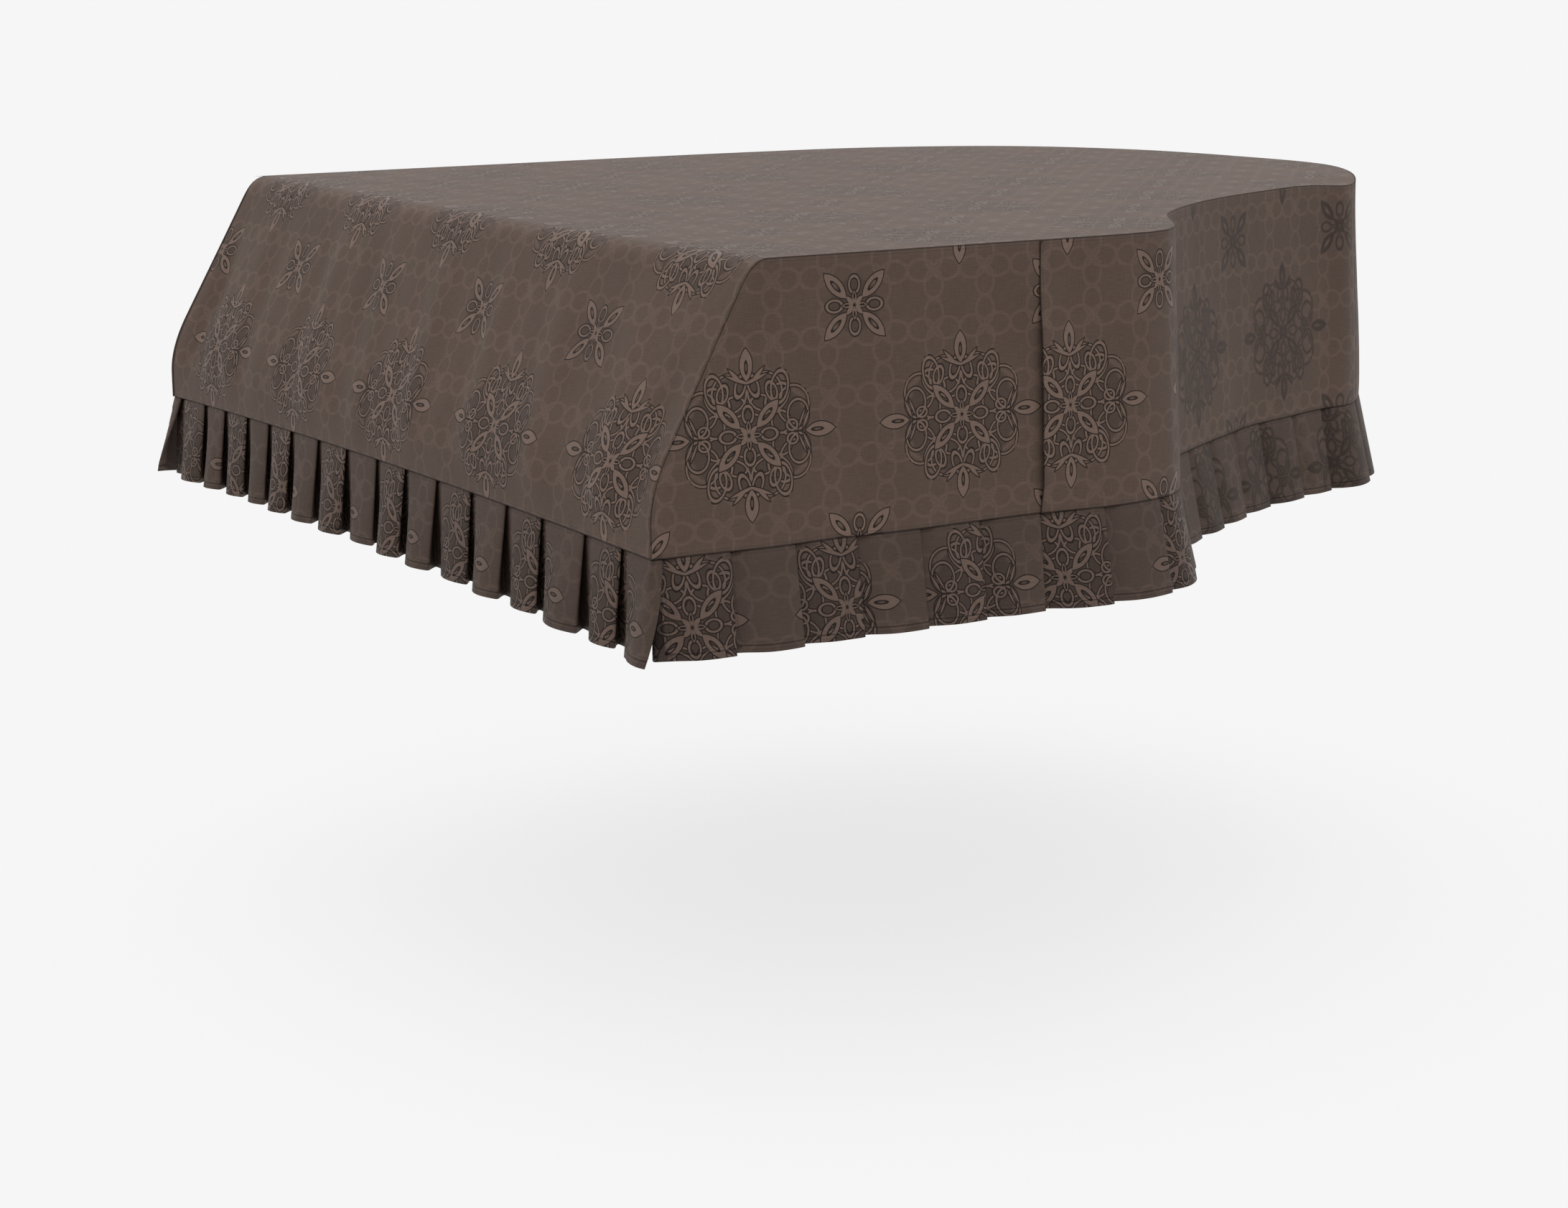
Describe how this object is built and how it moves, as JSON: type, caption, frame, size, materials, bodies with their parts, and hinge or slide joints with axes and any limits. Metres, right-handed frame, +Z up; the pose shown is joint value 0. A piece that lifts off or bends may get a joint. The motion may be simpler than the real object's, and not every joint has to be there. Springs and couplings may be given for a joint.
{
  "type": "grand piano cover",
  "caption": "Fitted grand piano cover of jacquard cloth with a sloping front, a curved side, a lapped vent and a knife-pleated skirt.",
  "frame": {"origin": "underside of the top at mid width, 0.80 m behind the face of the front drop", "axes": "+X to the cover's right seen from behind its front, +Y back towards the rounded tail, +Z up"},
  "size_m": [1.6065, 1.7292, 0.4525],
  "materials": {
    "panel_cloth": "taupe satin jacquard with a lighter woven medallion pattern",
    "skirt_cloth": "the same taupe satin jacquard, pressed into knife pleats"
  },
  "bodies": {
    "root": {"top_and_front_panel": "panel_cloth", "right_front_panel": "panel_cloth", "right_bent_side_panel": "panel_cloth", "tail_panel": "panel_cloth", "left_side_panel": "panel_cloth", "skirt_front": "skirt_cloth", "skirt_right_front": "skirt_cloth", "skirt_bent_side": "skirt_cloth", "skirt_tail": "skirt_cloth", "skirt_left_side": "skirt_cloth"}
  },
  "joints": []
}
